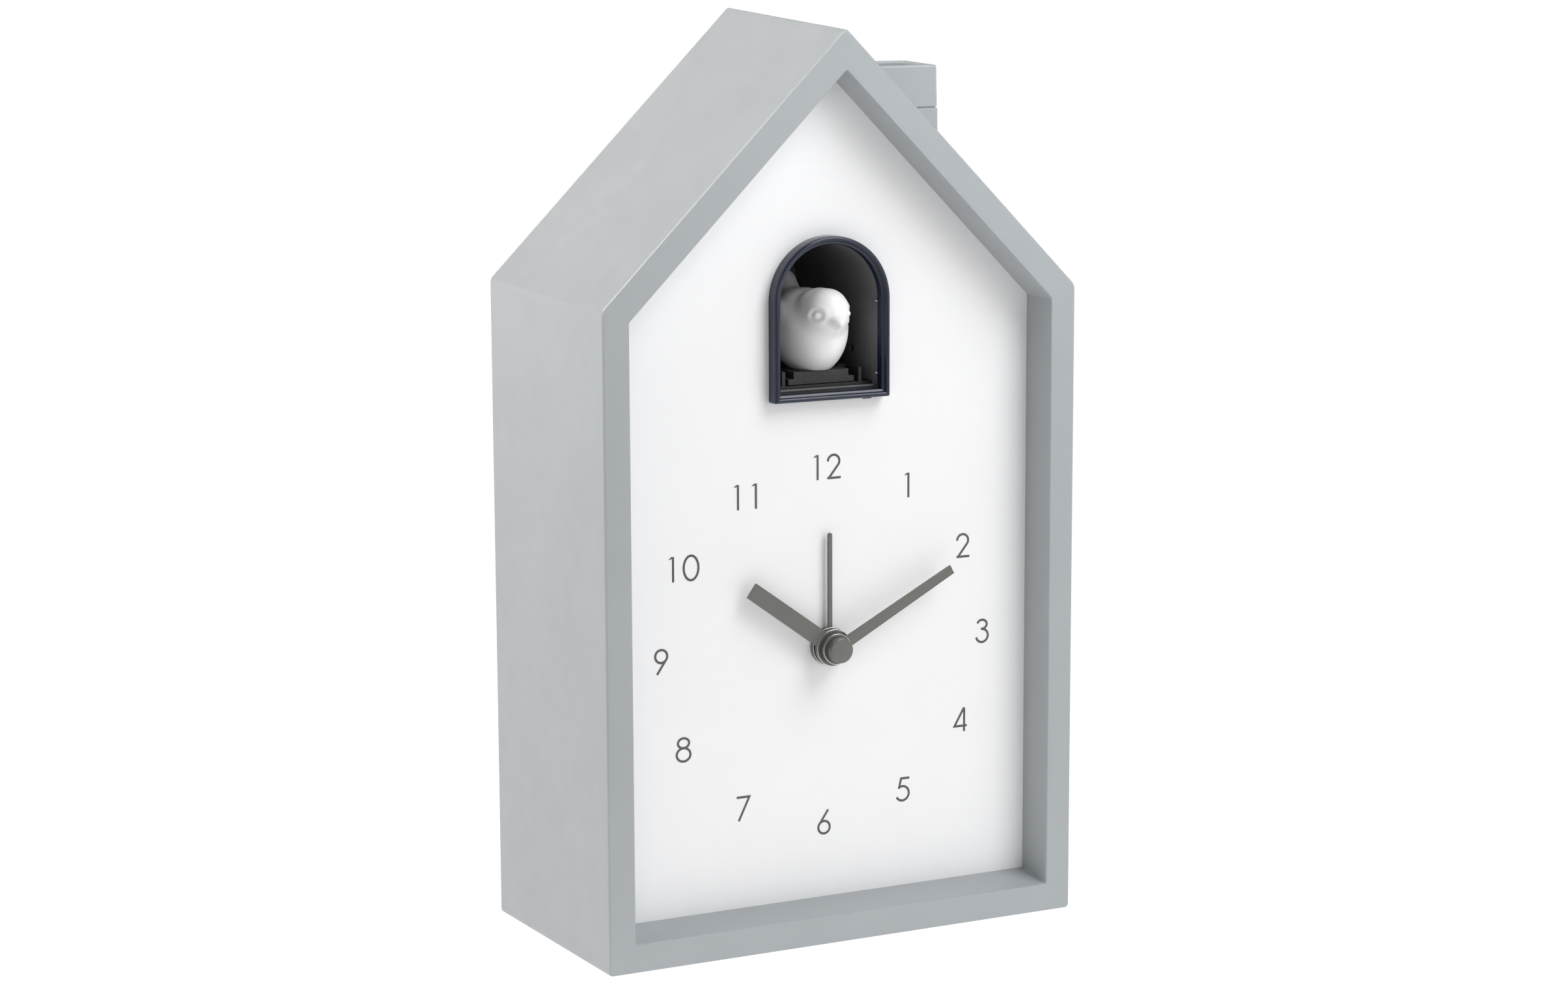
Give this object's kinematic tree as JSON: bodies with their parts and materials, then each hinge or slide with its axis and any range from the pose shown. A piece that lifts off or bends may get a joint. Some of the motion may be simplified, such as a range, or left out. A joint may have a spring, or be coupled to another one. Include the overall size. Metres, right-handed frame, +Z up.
{
  "type": "cuckoo alarm clock",
  "caption": "Birdhouse-shaped tabletop cuckoo alarm clock: recessed dial with hands, arched door with a sliding bird, chimney snooze button and quartz works.",
  "frame": {"origin": "bottom centre of the case, half way through its depth", "axes": "+Z up, -Y out of the dial towards the reader, +X to the right as the dial is read"},
  "size_m": [0.1076, 0.0522, 0.1855],
  "materials": {
    "case_grey": "satin moulded",
    "dial_white": "matt",
    "navy_gloss": "gloss",
    "tunnel_black": "satin",
    "sled_black": "coarse spark-eroded texture",
    "bird_white": "satin",
    "hand_grey": "satin paint",
    "knob_grey": "satin",
    "steel": "plain",
    "nickel": "nickel plated",
    "brass": "plain",
    "copper": "enamelled wire",
    "acetal": "natural",
    "movement_black": "satin",
    "magnet_grey": "sintered",
    "cell_wrap": "gloss wrap",
    "cone_black": "moulded paper",
    "board_green": "solder mask"
  },
  "bodies": {
    "clock": {"case": "case_grey", "dial_plate": "dial_white", "door_frame": "navy_gloss", "bird_tunnel": "tunnel_black", "tunnel_screws": "steel", "drive_bracket": "steel", "bracket_screws": "steel", "motor_can": "steel", "movement_front": "acetal", "movement_back": "movement_black", "movement_screws": "steel", "train_bridge": "brass", "stator": "steel", "coil_bobbin": "acetal", "coil_winding": "copper", "movement_board": "board_green", "quartz_crystal": "steel", "rear_cover": "case_grey", "cover_screws": "steel", "battery_box": "movement_black", "battery_cells": "cell_wrap", "battery_springs": "nickel", "battery_contacts": "nickel", "speaker_frame": "steel", "speaker_cone": "cone_black", "speaker_magnet": "magnet_grey", "main_board": "board_green", "alarm_switch": "steel", "snooze_board": "board_green", "snooze_switch": "movement_black"},
    "minute": {"minute_arbor": "brass", "minute_hand": "hand_grey", "hub_cap": "hand_grey"},
    "hour": {"hour_wheel": "acetal", "hour_hand": "hand_grey"},
    "motion_work": {"motion_wheel": "acetal"},
    "time_setting": {"setting_shaft": "acetal", "time_knob": "knob_grey"},
    "alarm": {"alarm_wheel": "acetal", "alarm_hand": "hand_grey"},
    "alarm_setting": {"alarm_shaft": "acetal", "alarm_knob": "knob_grey"},
    "step_rotor": {"rotor": "magnet_grey"},
    "fifth": {"fifth_wheel": "acetal"},
    "fourth": {"fourth_wheel": "acetal"},
    "third": {"third_wheel": "acetal"},
    "centre": {"centre_wheel": "acetal"},
    "bird_carriage": {"bird_sled": "sled_black", "bird": "bird_white"},
    "bird_pinion": {"pinion_shaft": "steel", "sled_pinion": "acetal", "drive_wheel": "acetal"},
    "bird_idler": {"idler_gear": "acetal", "idler_pin": "steel"},
    "motor_rotor": {"motor_shaft": "steel", "motor_pinion": "brass"},
    "snooze_button": {"chimney_button": "case_grey", "switch_plunger": "movement_black"},
    "alarm_switch_slider": {"alarm_slider": "knob_grey"},
    "battery_hatch": {"battery_door": "case_grey"}
  },
  "joints": [
    {"name": "minute_spin", "type": "hinge", "parent": "clock", "child": "minute", "pos_m": [0, 0, 0.05925], "axis": [0, 1, 0], "continuous": true},
    {"name": "hour_spin", "type": "hinge", "parent": "clock", "child": "hour", "pos_m": [0, 0, 0.05925], "axis": [0, 1, 0], "continuous": true},
    {"name": "motion_spin", "type": "hinge", "parent": "clock", "child": "motion_work", "pos_m": [-0.005, 0, 0.05407], "axis": [0, 1, 0], "continuous": true},
    {"name": "time_setting_spin", "type": "hinge", "parent": "clock", "child": "time_setting", "pos_m": [-0.0119, 0, 0.05201], "axis": [0, 1, 0], "continuous": true},
    {"name": "alarm_spin", "type": "hinge", "parent": "clock", "child": "alarm", "pos_m": [0, 0, 0.05925], "axis": [0, 1, 0], "continuous": true},
    {"name": "alarm_setting_spin", "type": "hinge", "parent": "clock", "child": "alarm_setting", "pos_m": [0.00957, 0, 0.05201], "axis": [0, 1, 0], "continuous": true},
    {"name": "rotor_spin", "type": "hinge", "parent": "clock", "child": "step_rotor", "pos_m": [0.01066, 0, 0.07505], "axis": [0, 1, 0], "continuous": true},
    {"name": "fifth_spin", "type": "hinge", "parent": "clock", "child": "fifth", "pos_m": [0.00363, 0, 0.0725], "axis": [0, 1, 0], "continuous": true},
    {"name": "fourth_spin", "type": "hinge", "parent": "clock", "child": "fourth", "pos_m": [-0.00374, 0, 0.07379], "axis": [0, 1, 0], "continuous": true},
    {"name": "third_spin", "type": "hinge", "parent": "clock", "child": "third", "pos_m": [-0.00579, 0, 0.06614], "axis": [0, 1, 0], "continuous": true},
    {"name": "centre_spin", "type": "hinge", "parent": "clock", "child": "centre", "pos_m": [0, 0, 0.05925], "axis": [0, 1, 0], "continuous": true},
    {"name": "bird_slide", "type": "slide", "parent": "clock", "child": "bird_carriage", "axis": [0, -1, 0], "range_m": [0, 0.011]},
    {"name": "bird_pinion_spin", "type": "hinge", "parent": "clock", "child": "bird_pinion", "pos_m": [0, -0.002, 0.10625], "axis": [1, 0, 0], "range_deg": [0, 143.4]},
    {"name": "bird_idler_spin", "type": "hinge", "parent": "clock", "child": "bird_idler", "pos_m": [0, 0.005, 0.09911], "axis": [1, 0, 0], "range_deg": [-430, 0]},
    {"name": "motor_spin", "type": "hinge", "parent": "clock", "child": "motor_rotor", "pos_m": [0, 0.0105, 0.09076], "axis": [1, 0, 0], "range_deg": [0, 1290]},
    {"name": "button_press", "type": "slide", "parent": "clock", "child": "snooze_button", "axis": [0, 0, -1], "range_m": [0, 0.00025], "stiffness_N_per_m": 1000, "springref_m": -0.0005},
    {"name": "alarm_switch_slide", "type": "slide", "parent": "clock", "child": "alarm_switch_slider", "axis": [1, 0, 0], "range_m": [0, 0.004]},
    {"name": "battery_door_hinge", "type": "hinge", "parent": "clock", "child": "battery_hatch", "pos_m": [0, 0.0221, 0.0112], "axis": [-1, 0, 0], "range_deg": [0, 95]}
  ],
  "couplings": [
    {"joint": "hour_spin", "follows": "minute_spin", "ratio": 0.083333},
    {"joint": "motion_spin", "follows": "minute_spin", "ratio": -0.33333},
    {"joint": "time_setting_spin", "follows": "minute_spin", "ratio": 1},
    {"joint": "alarm_setting_spin", "follows": "alarm_spin", "ratio": -1},
    {"joint": "fifth_spin", "follows": "rotor_spin", "ratio": -0.13333},
    {"joint": "fourth_spin", "follows": "rotor_spin", "ratio": 0.017778},
    {"joint": "third_spin", "follows": "rotor_spin", "ratio": -0.0022222},
    {"joint": "centre_spin", "follows": "rotor_spin", "ratio": 0.00055556},
    {"joint": "bird_pinion_spin", "follows": "bird_slide", "rad_per_m": 208.33},
    {"joint": "bird_idler_spin", "follows": "bird_slide", "rad_per_m": -625},
    {"joint": "motor_spin", "follows": "bird_slide", "rad_per_m": 1875}
  ]
}
